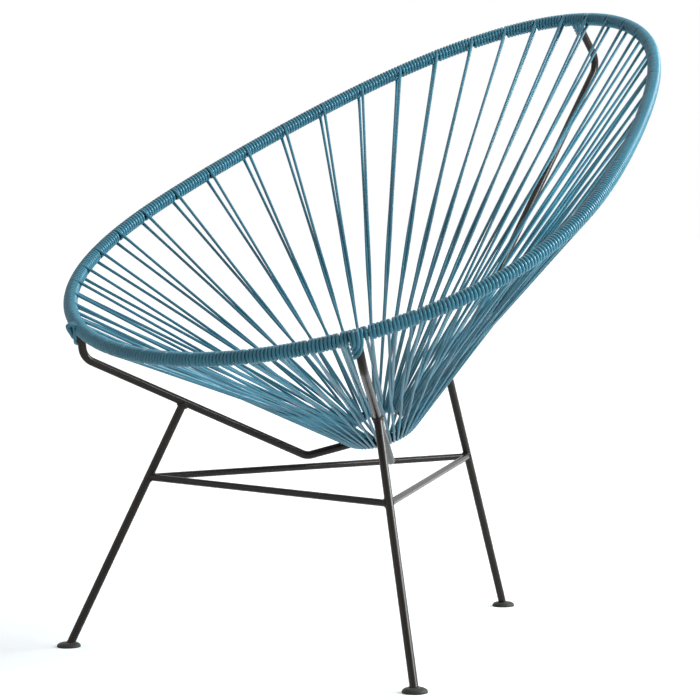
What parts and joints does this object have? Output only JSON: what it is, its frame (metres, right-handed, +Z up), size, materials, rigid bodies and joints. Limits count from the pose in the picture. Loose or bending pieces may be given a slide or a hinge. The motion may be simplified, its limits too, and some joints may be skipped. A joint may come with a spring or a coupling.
{
  "type": "corded lounge chair",
  "caption": "Low outdoor lounge chair: an egg-shaped tilted hoop strung with plastic cord to a ring under the seat, on a welded three-legged rod frame.",
  "frame": {"origin": "on the floor, under the middle of the chair's bounds", "axes": "+Z up, -Y to the front that the sitter faces, +X to the right seen from the front"},
  "size_m": [0.7578, 0.9766, 0.8675],
  "materials": {
    "frame_steel": "semi-gloss black-brown paint over round steel rod",
    "foot_steel": "dull dark grey paint on pressed pads",
    "cord": "satin petrol-blue PVC cord, round, smooth"
  },
  "bodies": {
    "root": {"hoop_rod": "frame_steel", "centre_ring": "frame_steel", "arm_left": "frame_steel", "leg_left": "frame_steel", "arm_right": "frame_steel", "leg_right": "frame_steel", "arm_rear": "frame_steel", "leg_rear": "frame_steel", "stretcher_front": "frame_steel", "stretcher_left": "frame_steel", "stretcher_right": "frame_steel", "foot_left": "foot_steel", "foot_right": "foot_steel", "foot_rear": "foot_steel", "cord_section_01": "cord", "cord_section_02": "cord", "cord_section_03": "cord", "cord_section_04": "cord", "cord_section_05": "cord", "cord_section_06": "cord", "cord_section_07": "cord", "cord_section_08": "cord", "cord_section_09": "cord", "cord_section_10": "cord", "cord_section_11": "cord", "cord_section_12": "cord", "cord_section_13": "cord", "cord_section_14": "cord", "cord_section_15": "cord", "cord_section_16": "cord", "cord_section_17": "cord", "cord_section_18": "cord"}
  },
  "joints": []
}
